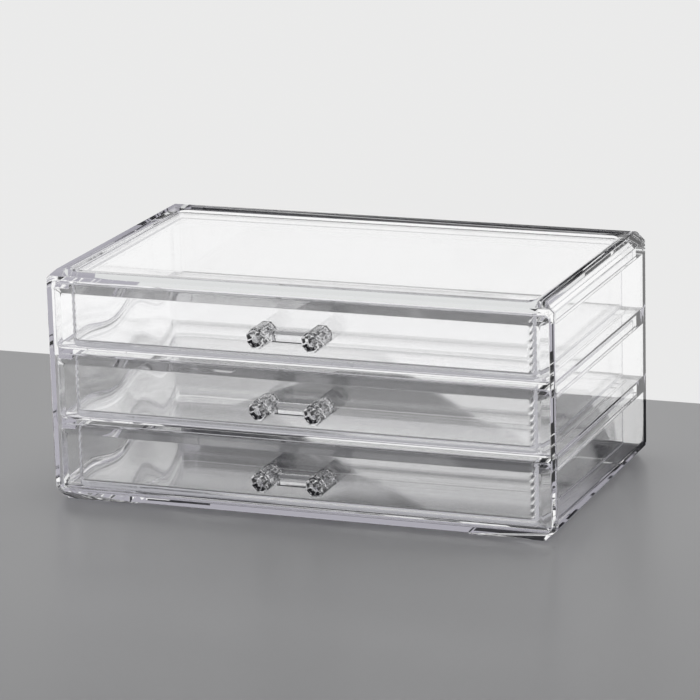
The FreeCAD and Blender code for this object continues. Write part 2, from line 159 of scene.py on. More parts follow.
# each recipe ends light that is mirrored inside too often in a tone painted into the plastic as emission: a
# near-black painted shade in the case and the handles, a grey painted glow in the fronts and the trays
clearPlastic = {
    "ior": 1.49,
    "shadowTint": (0.93, 0.93, 0.935, 1),     # what each skin leaves of the light that falls on the table
    "case": {
        "tint": (0.998, 0.998, 1, 1),
        "roughness": 0.006,
        "wave": (0.09, 0.14, 0.09),           # lengths of the slow unevenness along x, y and z
        "swell": 0.00004,                     # and its depth
        "paintedToneAfter": 6.5,                    # light mirrored inside more often than this stops and glows with a painted tone the painted tone: a near-black painted shade here, with a pale painted glow in places
        "paintedTrappedTone": (0.012, 0.012, 0.014, 1),    # and leaves with this tone
        "paintedToneVariesByPlace": True,
    },
    "front": {
        "tint": (0.998, 0.998, 1, 1),
        "roughness": 0.006,
        "wave": (0.06, 0.2, 0.3),
        "swell": 0.00002,
        "paintedToneAfter": 6.5,
        "paintedTrappedTone": (0.55, 0.55, 0.58, 1),
        "paintedToneVariesByPlace": False,
    },
    "tray": {
        "tint": (0.998, 0.998, 1, 1),
        "roughness": 0.008,
        "wave": (0.05, 0.2, 0.3),
        "swell": 0.00002,
        "paintedToneAfter": 6.5,
        "paintedTrappedTone": (0.45, 0.45, 0.48, 1),
        "paintedToneVariesByPlace": False,
    },
    "handle": {
        "tint": (0.99, 0.99, 0.995, 1),
        "roughness": 0.003,
        "wave": (0.006, 0.006, 0.006),
        "swell": 0.00003,
        "paintedToneAfter": 1.5,
        "paintedTrappedTone": (0.012, 0.012, 0.014, 1),
        "paintedToneVariesByPlace": False,
    },
}

# where the case's painted tone for trapped light changes: a pale painted glow in the roof, a dim grey
# painted glow in the left wall, the base and everything before a line across the case; behind that line it
# keeps its recipe's own near-black painted shade
paintedTonePlaces = {
    "roofPaintedGlow": (0.75, 0.76, 0.76, 1),
    "roofAbove": 0.100,
    "roofHalfWidth": 0.1080,
    "roofBefore": 0.060,
    "roofCorner": 0.140,         # the roof's right rear corner, beyond this sum of x and y, isn't pale
    "dimPaintedGlow": (0.42, 0.41, 0.46, 1),
    "leftOf": -0.1080,
    "baseBelow": 0.0045,
    "frontBefore": 0.0300,
}

# the wave across the left end of a front wall
endWave = {
    "depth": 0.00014,
    "length": 0.027,
    "start": -0.1045,
    "fade": (-0.052, -0.068),    # it grows from nothing to its full depth between these, along x
    "behindWall": 0.0005,        # and ends this far behind the inner skin
    "trayWall": 0.0018,
}


def paintedToneAtPlace(tree, place, otherwise):
    # paints the case's tone for trapped light by place: a pale painted glow in the roof, a dim painted glow
    # at the left, in the base and at the front
    s = paintedTonePlaces
    x, y, z = (place.outputs[axis] for axis in "XYZ")
    aside = calculate(tree, x, operation="ABSOLUTE", x=-900, y=-1600)
    overAll = calculate(tree, z, s["roofAbove"], "GREATER_THAN", -700, -1500)
    between = calculate(tree, aside, s["roofHalfWidth"], "LESS_THAN", -700, -1600)
    before = calculate(tree, y, s["roofBefore"], "LESS_THAN", -700, -1700)
    diagonal = calculate(tree, x, y, "ADD", -900, -1800)
    beforeCorner = calculate(tree, diagonal, s["roofCorner"], "LESS_THAN", -700, -1800)
    inRoof = calculate(tree, overAll, between, "MULTIPLY", -500, -1550)
    inRoof = calculate(tree, inRoof, before, "MULTIPLY", -350, -1600)
    inRoof = calculate(tree, inRoof, beforeCorner, "MULTIPLY", -200, -1650)
    atLeft = calculate(tree, x, s["leftOf"], "LESS_THAN", -700, -2000)
    inBase = calculate(tree, z, s["baseBelow"], "LESS_THAN", -700, -2100)
    inFront = calculate(tree, y, s["frontBefore"], "LESS_THAN", -700, -2200)
    inDimGlow = calculate(tree, atLeft, inBase, "MAXIMUM", -500, -2050)
    inDimGlow = calculate(tree, inDimGlow, inFront, "MAXIMUM", -350, -2100)
    dimGlowMixed = mixTones(tree, inDimGlow, otherwise, s["dimPaintedGlow"], -200, -2000)
    return mixTones(tree, inRoof, dimGlowMixed, s["roofPaintedGlow"], 0, -1800)


def waveOnSkins(tree, place, skins):
    # raises the outer skin where it sinks the inner one, so that the wall bends light
    # skins: where the outer and the inner one lie along y
    x, y = place.outputs["X"], place.outputs["Y"]
    start = endWave["start"]
    firstTurn = (start, start + endWave["length"])
    phase = mapRange(tree, x, firstTurn, -1100, -800, (0.0, 2 * math.pi), clamp=False)
    sine = calculate(tree, phase, operation="SINE", x=-900, y=-800)
    skinSide = mapRange(tree, y, skins, -1100, -1100, (1.0, -1.0))
    inWall = calculate(tree, y, skins[1] + endWave["behindWall"], "LESS_THAN", -1100, -1400)
    wallOnly = calculate(tree, skinSide, inWall, "MULTIPLY", -900, -1200)
    nearEnd = mapRange(tree, x, endWave["fade"], -1100, -500, interpolation_type="SMOOTHSTEP")
    wave = calculate(tree, sine, wallOnly, "MULTIPLY", -750, -900)
    wave = calculate(tree, wave, nearEnd, "MULTIPLY", -650, -700)
    return calculate(tree, wave, endWave["depth"], "MULTIPLY", -550, -600)


def makeClear(name, recipe, skins=None):
    material = newMaterial(name)
    tree = material.node_tree
    coordinates = addNode(tree, "ShaderNodeTexCoord", -1500, -200)
    place = addNode(tree, "ShaderNodeSeparateXYZ", -1300, -500)
    stretch = addNode(tree, "ShaderNodeMapping", -1300, -200)
    stretch.inputs["Scale"].default_value = [1 / length for length in recipe["wave"]]
    noise = addNode(tree, "ShaderNodeTexNoise", -1100, -200)
    noise.inputs["Scale"].default_value = 1.0
    noise.inputs["Detail"].default_value = 0.5
    height = addNode(tree, "ShaderNodeMath", -550, -200, operation="MULTIPLY_ADD")
    height.inputs[1].default_value = recipe["swell"]
    feed(tree, height.inputs[2], waveOnSkins(tree, place, skins) if skins else 0.0)
    bump = addNode(tree, "ShaderNodeBump", -350, -200)
    bump.inputs["Distance"].default_value = 1.0
    skin = addNode(tree, "ShaderNodeBsdfPrincipled", -100, 0)
    skin.inputs["Base Color"].default_value = recipe["tint"]
    skin.inputs["Roughness"].default_value = recipe["roughness"]
    skin.inputs["IOR"].default_value = clearPlastic["ior"]
    skin.inputs["Transmission Weight"].default_value = 1.0
    # painted glow or painted shade: emission in the recipe's tone, shown where light has been mirrored
    # inside too often
    paintedTrappedTone = addNode(tree, "ShaderNodeEmission", 200, -350)
    tone = recipe["paintedTrappedTone"]
    feed(tree, paintedTrappedTone.inputs["Color"], paintedToneAtPlace(tree, place, tone) if recipe["paintedToneVariesByPlace"] else tone)
    path = addNode(tree, "ShaderNodeLightPath", -100, 500)
    takesPaintedTone = calculate(tree, path.outputs["Glossy Depth"], recipe["paintedToneAfter"], "GREATER_THAN", 100, 300)
    passing = addNode(tree, "ShaderNodeBsdfTransparent", 200, -200)
    passing.inputs["Color"].default_value = clearPlastic["shadowTint"]
    paintedToneMix = addNode(tree, "ShaderNodeMixShader", 300, 0)
    feed(tree, paintedToneMix.inputs["Fac"], takesPaintedTone)
    shadow = addNode(tree, "ShaderNodeMixShader", 500, 0)
    out = addNode(tree, "ShaderNodeOutputMaterial", 700, 0)
    connect(tree,
            (coordinates, "Object", place, "Vector"),
            (coordinates, "Object", stretch, "Vector"),
            (stretch, "Vector", noise, "Vector"),
            (noise, "Fac", height, 0),
            (height, "Value", bump, "Height"),
            (bump, "Normal", skin, "Normal"),
            (skin, "BSDF", paintedToneMix, 1),
            (paintedTrappedTone, "Emission", paintedToneMix, 2),
            (path, "Is Shadow Ray", shadow, "Fac"),
            (paintedToneMix, "Shader", shadow, 1),
            (passing, "BSDF", shadow, 2),
            (shadow, "Shader", out, "Surface"))
    return material


clearCase = makeClear("clearCase", clearPlastic["case"])
panelLow, panelHigh = cornersOf("bottom_front_panel")
trayFront = cornersOf("bottom_tray")[0].y
clearFront = makeClear("clearFront", clearPlastic["front"], (panelLow.y, panelHigh.y))
clearTray = makeClear("clearTray", clearPlastic["tray"], (trayFront, trayFront + endWave["trayWall"]))
clearHandle = makeClear("clearHandle", clearPlastic["handle"])
print("stage: clear plastics mixed")


# every piece ends here: its edges are eased, its normals follow the large faces,
# and it takes the place of its nodes

finishSettings = {
    "sharpAngle": 18,            # edges that turn more than this are eased
    "largeFaces": 95,            # how far the normals follow the large faces, of 100
    "mergeDistance": 2e-6,
    "flatAngle": 0.4,            # faces that meet at less than this become one
}


def bakeModifiers(piece):
    evaluated = piece.evaluated_get(bpy.context.evaluated_depsgraph_get())
    baked = bpy.data.meshes.new_from_object(evaluated)
    piece.modifiers.clear()
    piece.data = baked
    baked.name = piece.name


def markSharpEdges(mesh, staysSharp):
    work = bmesh.new()
    work.from_mesh(mesh)
    weights = work.edges.layers.float.new("bevel_weight_edge")
    for edge in work.edges:
        middle = (edge.verts[0].co + edge.verts[1].co) / 2
        turns = edge.calc_face_angle(0) > math.radians(finishSettings["sharpAngle"])
        edge[weights] = float(turns and not staysSharp(middle))
    work.to_mesh(mesh)
    work.free()


def finishPiece(piece, material, nodeNames, ease, segments=3, clamp=True, staysSharp=lambda place: False):
    # ease: 0 leaves all edges as they are; staysSharp: tells by its middle which edge isn't eased
    if ease > 0:
        markSharpEdges(piece.data, staysSharp)
        bevel = piece.modifiers.new("easedEdges", "BEVEL")
        bevel.width = ease
        bevel.segments = segments
        bevel.limit_method = "WEIGHT"
        bevel.use_clamp_overlap = clamp
        bakeModifiers(piece)
    piece.data.materials.clear()
    piece.data.materials.append(material)
    for face in piece.data.polygons:
        face.use_smooth = True
        face.material_index = 0
    weigh = piece.modifiers.new("flatFacesStayFlat", "WEIGHTED_NORMAL")
    weigh.mode = "FACE_AREA"
    weigh.weight = finishSettings["largeFaces"]
    weigh.keep_sharp = False
    bakeModifiers(piece)
    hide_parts(*nodeNames)
    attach(piece, bodyOfNode[nodeNames[0]])
    return piece


def newPiece(name, mesh):
    piece = bpy.data.objects.new(name, mesh)
    scene.collection.objects.link(piece)
    return piece


def loftedPiece(name, rings):
    # a closed skin over rings of points, capped at the first and the last
    work = bmesh.new()
    loops = [[work.verts.new(point) for point in ring] for ring in rings]
    count = len(loops[0])
    for near, far in zip(loops, loops[1:]):
        for i in range(count):
            j = (i + 1) % count
            work.faces.new((near[i], near[j], far[j], far[i]))
    work.faces.new(list(reversed(loops[0])))
    work.faces.new(loops[-1])
    bmesh.ops.recalc_face_normals(work, faces=work.faces)
    mesh = bpy.data.meshes.new(name)
    work.to_mesh(mesh)
    work.free()
    return newPiece(name, mesh)


def mergeFlats(mesh):
    work = bmesh.new()
    work.from_mesh(mesh)
    bmesh.ops.remove_doubles(work, verts=work.verts, dist=finishSettings["mergeDistance"])
    bmesh.ops.dissolve_limit(work, angle_limit=math.radians(finishSettings["flatAngle"]),
                             verts=work.verts, edges=work.edges)
    work.to_mesh(mesh)
    work.free()


def mouldedCopy(nodeName, pieceName):
    mesh = frame["nodes"][nodeName].data.copy()
    mesh.name = pieceName
    mergeFlats(mesh)
    return newPiece(pieceName, mesh)


# the case: its parts are welded with clear cement, so light crosses their joints as it would one moulding

caseSettings = {
    "cement": 0.0004,            # how far a part runs into what it is welded to
    "ease": 0.0004,
    "sillTop": 0.009,            # below this the step behind the drawer fronts stays sharp
    "lipDepth": 0.0037,          # and so does the roof's narrow front lip
    "edgeSlack": 0.0001,         # an edge this near to a step counts as on it
    "backPanelWelds": (1, 0, 1),      # the directions in which a part is welded: x, y, z
    "shelfWelds": (1, 1, 0),
    "recessHalfWidth": 0.1105,
    "recessRound": 0.0045,
    "rimFall": 0.001,            # the rim behind the recess falls by this towards it
    "facesUp": 0.99,             # least upward share of a face's normal, for the rim's own faces
}
railLow, railHigh = cornersOf("bottom_right_guide_rail")
stripLow, stripHigh = cornersOf("bottom_rear_guide_strip")
guideSettings = {
    "Bay Half Width": railHigh.x + caseSettings["cement"],
    "Rail Width": railHigh.x - railLow.x + caseSettings["cement"],
    "Height": railHigh.z - railLow.z + caseSettings["cement"],
    "Front": railLow.y,
    "Back": railHigh.y + caseSettings["cement"],
    "Strip Depth": stripHigh.y - stripLow.y + caseSettings["cement"],
    "Strip Half Length": stripHigh.x + 2 * caseSettings["cement"],
    "Lowest": railLow.z,
    "Level Pitch": cornersOf("middle_right_guide_rail")[0].z - railLow.z,
    "Levels": len(levelNames),
}


def barAlong(tree, start, end, width, height, at):
    x, y = at
    path = addNode(tree, "GeometryNodeCurvePrimitiveLine", x, y)
    tree.links.new(start, path.inputs["Start"])
    tree.links.new(end, path.inputs["End"])
    section = addNode(tree, "GeometryNodeCurvePrimitiveQuadrilateral", x, y - 200)
    tree.links.new(width, section.inputs["Width"])
    tree.links.new(height, section.inputs["Height"])
    sweep = addNode(tree, "GeometryNodeCurveToMesh", x + 200, y)
    sweep.inputs["Fill Caps"].default_value = True
    connect(tree,
            (path, "Curve", sweep, "Curve"),
            (section, "Curve", sweep, "Profile Curve"))
    return sweep.outputs["Mesh"]


def makeGuideTree():
    tree, sizes, result = newGeometryTree("guideLadder", guideSettings)
    s = sizes.outputs
    halfRail = calculate(tree, s["Rail Width"], 0.5, "MULTIPLY")
    railX = calculate(tree, s["Bay Half Width"], halfRail, "SUBTRACT")
    halfHeight = calculate(tree, s["Height"], 0.5, "MULTIPLY")
    level = calculate(tree, s["Lowest"], halfHeight)
    rail = barAlong(tree, vectorOf(tree, railX, s["Front"], level), vectorOf(tree, railX, s["Back"], level),
                    s["Rail Width"], s["Height"], (-600, 300))
    other = addNode(tree, "GeometryNodeTransform", 200, 100)
    other.inputs["Scale"].default_value = (-1, 1, 1)
    flip = addNode(tree, "GeometryNodeFlipFaces", 400, 100)
    tree.links.new(rail, other.inputs["Geometry"])
    tree.links.new(other.outputs["Geometry"], flip.inputs["Mesh"])
    halfStrip = calculate(tree, s["Strip Depth"], 0.5, "MULTIPLY")
    stripY = calculate(tree, s["Back"], halfStrip, "SUBTRACT")
    stripEnd = calculate(tree, s["Strip Half Length"], -1.0, "MULTIPLY")
    strip = barAlong(tree, vectorOf(tree, stripEnd, stripY, level),
                     vectorOf(tree, s["Strip Half Length"], stripY, level),
                     s["Strip Depth"], s["Height"], (-600, -500))
    bay = addNode(tree, "GeometryNodeJoinGeometry", 600, 0)
    for mesh in (rail, flip.outputs["Mesh"], strip):
        tree.links.new(mesh, bay.inputs["Geometry"])
    steps = addNode(tree, "GeometryNodeMeshLine", 600, 200)
    tree.links.new(s["Levels"], steps.inputs["Count"])
    tree.links.new(vectorOf(tree, z=s["Level Pitch"]), steps.inputs["Offset"])
    repeat = addNode(tree, "GeometryNodeInstanceOnPoints", 800, 0)
    connect(tree,
            (steps, "Mesh", repeat, "Points"),
            (bay, "Geometry", repeat, "Instance"))
    return endTree(tree, sizes, repeat.outputs["Instances"], result)


# the four low feet, moulded on the base

footLow, footHigh = cornersOf("front_right_foot")
rearFootLow, rearFootHigh = cornersOf("rear_right_foot")
footSettings = {
    "Width": footHigh.x - footLow.x,
    "Depth": footHigh.y - footLow.y,
    "Height": footHigh.z - footLow.z + caseSettings["cement"],
    "Corner": 0.002,
    "Across": footHigh.x + footLow.x,
    "Along": (rearFootLow.y + rearFootHigh.y - footLow.y - footHigh.y) / 2,
    "Middle": (rearFootLow.y + rearFootHigh.y + footLow.y + footHigh.y) / 4,
    "Corner Steps": 6,
}


def makeFootTree():
    tree, sizes, result = newGeometryTree("fourFeet", footSettings)
    s = sizes.outputs
    sole = addNode(tree, "GeometryNodeCurvePrimitiveQuadrilateral", -800, 0)
    tree.links.new(s["Width"], sole.inputs["Width"])
    tree.links.new(s["Depth"], sole.inputs["Height"])
    rounded = addNode(tree, "GeometryNodeFilletCurve", -600, 0, mode="POLY")
    tree.links.new(s["Corner Steps"], rounded.inputs["Count"])
    tree.links.new(sole.outputs["Curve"], rounded.inputs["Curve"])
    tree.links.new(s["Corner"], rounded.inputs["Radius"])
    path = addNode(tree, "GeometryNodeCurvePrimitiveLine", -600, 200)
    tree.links.new(vectorOf(tree, z=s["Height"]), path.inputs["End"])
    sweep = addNode(tree, "GeometryNodeCurveToMesh", -400, 0)
    sweep.inputs["Fill Caps"].default_value = True
    connect(tree,
            (path, "Curve", sweep, "Curve"),
            (rounded, "Curve", sweep, "Profile Curve"))
    corners = addNode(tree, "GeometryNodeMeshGrid", -400, 300)      # two by two points, one for each foot
    corners.inputs["Vertices X"].default_value = 2
    corners.inputs["Vertices Y"].default_value = 2
    tree.links.new(s["Across"], corners.inputs["Size X"])
    tree.links.new(s["Along"], corners.inputs["Size Y"])
    centred = addNode(tree, "GeometryNodeTransform", -200, 300)
    tree.links.new(corners.outputs["Mesh"], centred.inputs["Geometry"])
    tree.links.new(vectorOf(tree, y=s["Middle"]), centred.inputs["Translation"])
    repeat = addNode(tree, "GeometryNodeInstanceOnPoints", 0, 0)
    connect(tree,
            (centred, "Geometry", repeat, "Points"),
            (sweep, "Mesh", repeat, "Instance"))
    return endTree(tree, sizes, repeat.outputs["Instances"], result)


def weldBlank(nodeName, sides):
    blank = mouldedCopy(nodeName, nodeName + "Blank")
    low, high = cornersOf(nodeName)
    middle = (low + high) / 2
    for corner in blank.data.vertices:
        for axis in range(3):
            if corner.co[axis] > middle[axis] or axis != 1:      # nothing is welded in front
                outwards = math.copysign(caseSettings["cement"], corner.co[axis] - middle[axis])
                corner.co[axis] += outwards * sides[axis]
    return blank


def slopeRim(mesh):
    # the rim behind the roof's recess falls a little towards it
    s = caseSettings
    top = cornersOf("case_shell")[1].z
    work = bmesh.new()
    work.from_mesh(mesh)
    inner = [corner for corner in work.verts
             if abs(corner.co.z - top) < s["cement"] and abs(corner.co.x) < s["recessHalfWidth"]]
    recessBack = max(corner.co.y for corner in inner)
    rim = {face for corner in inner for face in corner.link_faces if face.normal.z > s["facesUp"]}
    bmesh.ops.triangulate(work, faces=list(rim))
    for corner in inner:
        if recessBack - corner.co.y < s["recessRound"]:
            corner.co.z -= s["rimFall"]
    work.to_mesh(mesh)
    work.free()


guides = growPiece("guideRailsAndStrips", makeGuideTree(), guideSettings, clearCase)
feet = growPiece("fourFeet", makeFootTree(), footSettings, clearCase)
welded = [guides, feet, weldBlank("back_panel", caseSettings["backPanelWelds"])]
welded += [weldBlank(nodeName, caseSettings["shelfWelds"]) for nodeName in ("lower_shelf", "upper_shelf")]
together = bmesh.new()
for blank in welded:
    together.from_mesh(blank.data)
blanksMesh = bpy.data.meshes.new("weldedBlanks")
together.to_mesh(blanksMesh)
together.free()
blanks = newPiece("weldedBlanks", blanksMesh)
caseBody = mouldedCopy("case_shell", "weldedCase")
slopeRim(caseBody.data)
weld = caseBody.modifiers.new("weld", "BOOLEAN")
weld.operation = "UNION"
weld.solver = "EXACT"
weld.use_self = True
weld.object = blanks
bakeModifiers(caseBody)
for blank in welded + [blanks]:
    bpy.data.objects.remove(blank)
mergeFlats(caseBody.data)
caseNodes = ["case_shell", "back_panel", "lower_shelf", "upper_shelf"]
caseNodes += [node for node in bodyOfNode if node.endswith(("_guide_rail", "_guide_strip", "_foot"))]
sillBack = cornersOf("lower_shelf")[0].y
caseFront, caseTop = cornersOf("case_shell")[0].y, cornersOf("case_shell")[1].z


def onNarrowStep(place):
    # there is no room to ease the edges of the sill, the feet and the roof's front lip
    slack = caseSettings["edgeSlack"]
    atSill = abs(place.y - sillBack) < caseSettings["ease"] and place.z < caseSettings["sillTop"]
    atFoot = place.z < footHigh.z + slack and abs(place.x) > footLow.x - footSettings["Corner"]
    atLip = place.z > caseTop - slack and place.y < caseFront + caseSettings["lipDepth"]
    return atSill or atFoot or atLip


finishPiece(caseBody, clearCase, caseNodes, caseSettings["ease"], clamp=False, staysSharp=onNarrowStep)
print("stage: case welded from shell, back, shelves, rails, strips and feet")


# the trays: a lofted box with a rope-like ripple down its two front corners

traySettings = {
    "wall": 0.0018,
    "floor": 0.0020,
    "outerCorner": 0.0028,
    "outerFoot": 0.0025,
    "innerFoot": 0.0009,
    "rimRound": 0.0005,
    "rimDrop": 0.0006,
    "cornerSteps": 10,
    "besideCorner": (0.0007, 0.0014, 0.0021, 0.0028, 0.0036),     # close points on the walls
    "ripplePitch": 0.0034,       # height of one twist
    "rippleDepth": 0.0009,
    "rippleReach": 0.0028,
    "ringStep": 0.0003,
    "leastRadius": 0.0003,       # the inner corners keep this much roundness
    "footSteps": 6,
    "rimSteps": 3,
}


def roundedRing(box, inset, radius, height):
    # one turn round the tray: four rounded corners, with close points beside each to keep the walls flat
    (x0, y0, _), (x1, y1, _) = box
    x0, x1, y0, y1 = x0 + inset, x1 - inset, y0 + inset, y1 - inset
    steps = traySettings["cornerSteps"]
    corners = ((x1 - radius, y0 + radius, -90), (x1 - radius, y1 - radius, 0),
               (x0 + radius, y1 - radius, 90), (x0 + radius, y0 + radius, 180))
    points = []
    for cx, cy, start in corners:
        turn = [math.radians(start + 90 * i / steps) for i in range(steps + 1)]
        arc = [Vector((cx + radius * math.cos(a), cy + radius * math.sin(a), height)) for a in turn]
        before = Vector((math.sin(turn[0]), -math.cos(turn[0]), 0))
        after = Vector((-math.sin(turn[-1]), math.cos(turn[-1]), 0))
        reach = traySettings["besideCorner"]
        points += [arc[0] + before * r for r in reversed(reach)]
        points += arc + [arc[-1] + after * r for r in reach]
    return points


def quarterTurn(steps):
    return [math.radians(90 * i / steps) for i in range(steps + 1)]


def rippleCorners(point, box):
    # presses a twisted dent into the two front corners
    s = traySettings
    for side in (-1, 1):
        corner = Vector((box[0 if side < 0 else 1].x, box[0].y, point.z))
        reach = (point - corner).length
        fade = max(0.0, 1 - (reach / s["rippleReach"]) ** 2)
        around = math.atan2(abs(point.x - corner.x), abs(point.y - corner.y))
        phase = 2 * math.pi * (point.z / s["ripplePitch"] + 2 * side * around / math.pi)
        inward = Vector((-side, 1, 0)).normalized()
        point += inward * s["rippleDepth"] * fade * (0.5 + 0.5 * math.sin(phase))


def makeTray(level):
    nodeName = level + "_tray"
    box = cornersOf(nodeName)
    s = traySettings
    low, high = box[0].z, box[1].z - s["rimDrop"]
    profile = []                 # (inset, corner radius, height) from the sole to the inner floor
    for a in quarterTurn(s["footSteps"]):
        inset = s["outerFoot"] * (1 - math.sin(a))
        profile.append((inset, s["outerCorner"] - inset, low + s["outerFoot"] * (1 - math.cos(a))))
    z = low + s["outerFoot"]
    while z < high - s["rimRound"] - s["ringStep"]:
        z += s["ringStep"]
        profile.append((0, s["outerCorner"], z))
    for a in quarterTurn(s["rimSteps"]):
        inset = s["rimRound"] * (1 - math.cos(a))
        profile.append((inset, s["outerCorner"] - inset, high - s["rimRound"] * (1 - math.sin(a))))
    for a in quarterTurn(s["rimSteps"]):
        inset = s["wall"] - s["rimRound"] * (1 - math.sin(a))
        profile.append((inset, s["outerCorner"] - inset, high - s["rimRound"] * (1 - math.cos(a))))
    for a in quarterTurn(s["footSteps"]):
        inset = s["wall"] + s["innerFoot"] * (1 - math.cos(a))
        height = low + s["floor"] + s["innerFoot"] * (1 - math.sin(a))
        profile.append((inset, s["outerCorner"] - inset, height))
    rings = []
    for inset, radius, height in profile:
        ring = roundedRing(box, inset, max(radius, s["leastRadius"]), height)
        if inset == 0 and low + s["outerFoot"] < height < high - s["rimRound"]:
            for point in ring:
                rippleCorners(point, box)
        rings.append(ring)
    finishPiece(loftedPiece(level + "DrawerTray", rings), clearTray, [nodeName], 0)


for level in levelNames:
    makeTray(level)
print("stage: trays made")


# the bevelled drawer fronts

frontSettings = {
    "ease": 0.0003,
    "pinHoleReach": 0.003,       # the edges of the pins' holes stay sharp
    "topBand": 0.0045,           # what is this near to the top is lowered
    "topDrop": 0.0011,           # by this, so that the edge stands clear of what is above it
}


def makeFront(level):
    s = frontSettings
    nodeName = level + "_front_panel"
    pinLow, pinHigh = cornersOf(level + "_handle_pins")
    pinHeight = (pinLow.z + pinHigh.z) / 2
    pinAcross = pinHigh.x - (pinHigh.z - pinLow.z) / 2
    panelTop = cornersOf(nodeName)[1].z
    piece = mouldedCopy(nodeName, level + "DrawerFront")
    for corner in piece.data.vertices:
        if corner.co.z > panelTop - s["topBand"]:
            corner.co.z -= s["topDrop"]

    def atPinHole(place):
        return math.hypot(abs(place.x) - pinAcross, place.z - pinHeight) < s["pinHoleReach"]

    finishPiece(piece, clearFront, [nodeName], s["ease"], clamp=False, staysSharp=atPinHole)


for level in levelNames:
    makeFront(level)
print("stage: drawer fronts made")


# the handles: two octagonal knobs with a ribbed hollow core, joined by an octagonal bar; two pins hold each

knobSettings = {
    "acrossFlats": 0.0090,
    "rimEase": 0.0006,
    "dishRadius": 0.0036,
    "dishFloor": 0.0020,
    "dishDepth": 0.0008,
    "coreRadius": 0.0029,
    "coreRib": 0.0005,
    "ribs": 7,
    "coreDepth": 0.0096,         # the hollow core reaches this far forwards from the back
    "coreTip": 0.0021,
    "segments": 32,
    "pinClearance": 0.00012,
    "ease": 0.00014,
}
barSettings = {
    "acrossFlats": 0.0052,
    "behindFace": 0.0075,        # from the knobs' faces to the bar's axis
    "intoKnob": 0.0011,
    "sides": 8,
}


def octagonRadius(angle, acrossFlats):
    off = (angle + math.pi / 8) % (math.pi / 4) - math.pi / 8
    return acrossFlats / 2 / math.cos(off)


def ringedPiece(name, rings, segments):
    # rings are (y, radius, squareness): 1 follows the octagon, 0 is round
    turned = []
    for y, radius, squareness in rings:
        ring = []
        for i in range(segments):
            angle = 2 * math.pi * i / segments
            reach = squareness * octagonRadius(angle, 2 * radius) + (1 - squareness) * radius
            ring.append((reach * math.cos(angle), y, reach * math.sin(angle)))
        turned.append(ring)
    return loftedPiece(name, turned)


def makeKnob(front, back):
    s = knobSettings
    half = s["acrossFlats"] / 2
    rings = [(back - s["coreDepth"], s["coreRadius"] - s["coreTip"], 0)]
    top = back - s["coreDepth"] + s["coreTip"]
    rings.append((top, s["coreRadius"], 0))
    pitch = (back - top) / (s["ribs"] + 0.5)
    for i in range(s["ribs"]):
        rings.append((top + pitch * (i + 0.5), s["coreRadius"] - s["coreRib"], 0))
        rings.append((top + pitch * (i + 1.0), s["coreRadius"], 0))
    rings.append((back, s["coreRadius"], 0))
    rings.append((back, half, 1))
    rings.append((front + s["rimEase"], half, 1))
    rings.append((front, half - s["rimEase"], 1))
    rings.append((front, s["dishRadius"], 0))
    rings.append((front + s["dishDepth"], s["dishFloor"], 0))
    return ringedPiece("knob", rings, s["segments"])


def makeHandleTree(knob, sizeNames):
    tree, sizes, result = newGeometryTree("knobsAndBar", sizeNames)
    s = sizes.outputs
    pattern = addNode(tree, "GeometryNodeObjectInfo", -800, 200)
    pattern.inputs["Object"].default_value = knob
    line = addNode(tree, "GeometryNodeMeshLine", -800, 0)
    line.inputs["Count"].default_value = 2
    first = calculate(tree, s["Knob Spacing"], -0.5, "MULTIPLY")
    tree.links.new(vectorOf(tree, x=first, z=s["Height"]), line.inputs["Start Location"])
    tree.links.new(vectorOf(tree, x=s["Knob Spacing"]), line.inputs["Offset"])
    knobs = addNode(tree, "GeometryNodeInstanceOnPoints", -500, 100)
    connect(tree,
            (line, "Mesh", knobs, "Points"),
            (pattern, "Geometry", knobs, "Instance"))
    realKnobs = addNode(tree, "GeometryNodeRealizeInstances", -300, 100)
    tree.links.new(knobs.outputs["Instances"], realKnobs.inputs["Geometry"])
    start = calculate(tree, s["Bar Length"], -0.5, "MULTIPLY")
    end = calculate(tree, s["Bar Length"], 0.5, "MULTIPLY")
    path = addNode(tree, "GeometryNodeCurvePrimitiveLine", -800, -300)
    tree.links.new(vectorOf(tree, start, s["Bar Depth"], s["Height"]), path.inputs["Start"])
    tree.links.new(vectorOf(tree, end, s["Bar Depth"], s["Height"]), path.inputs["End"])
    section = addNode(tree, "GeometryNodeCurvePrimitiveCircle", -800, -500)
    section.inputs["Resolution"].default_value = barSettings["sides"]
    tree.links.new(s["Bar Corner Radius"], section.inputs["Radius"])
    turn = addNode(tree, "GeometryNodeTransform", -600, -500)
    turn.inputs["Rotation"].default_value = (0, 0, math.pi / barSettings["sides"])
    tree.links.new(section.outputs["Curve"], turn.inputs["Geometry"])
    bar = addNode(tree, "GeometryNodeCurveToMesh", -400, -300)
    bar.inputs["Fill Caps"].default_value = True
    connect(tree,
            (path, "Curve", bar, "Curve"),
            (turn, "Geometry", bar, "Profile Curve"))
    weld = addNode(tree, "GeometryNodeMeshBoolean", 0, 0, operation="UNION", solver="EXACT")
    connect(tree,
            (realKnobs, "Geometry", weld, "Mesh 2"),
            (bar, "Mesh", weld, "Mesh 2"))
    return endTree(tree, sizes, weld.outputs["Mesh"], result)


def handleSizes(level):
    low, high = cornersOf(level + "_handle")
    spacing = high.x - low.x - knobSettings["acrossFlats"]
    return {
        "Knob Spacing": spacing,
        "Height": (low.z + high.z) / 2,
        "Bar Length": spacing - knobSettings["acrossFlats"] + 2 * barSettings["intoKnob"],
        "Bar Depth": low.y + barSettings["behindFace"],
        "Bar Corner Radius": barSettings["acrossFlats"] / 2 / math.cos(math.pi / barSettings["sides"]),
    }


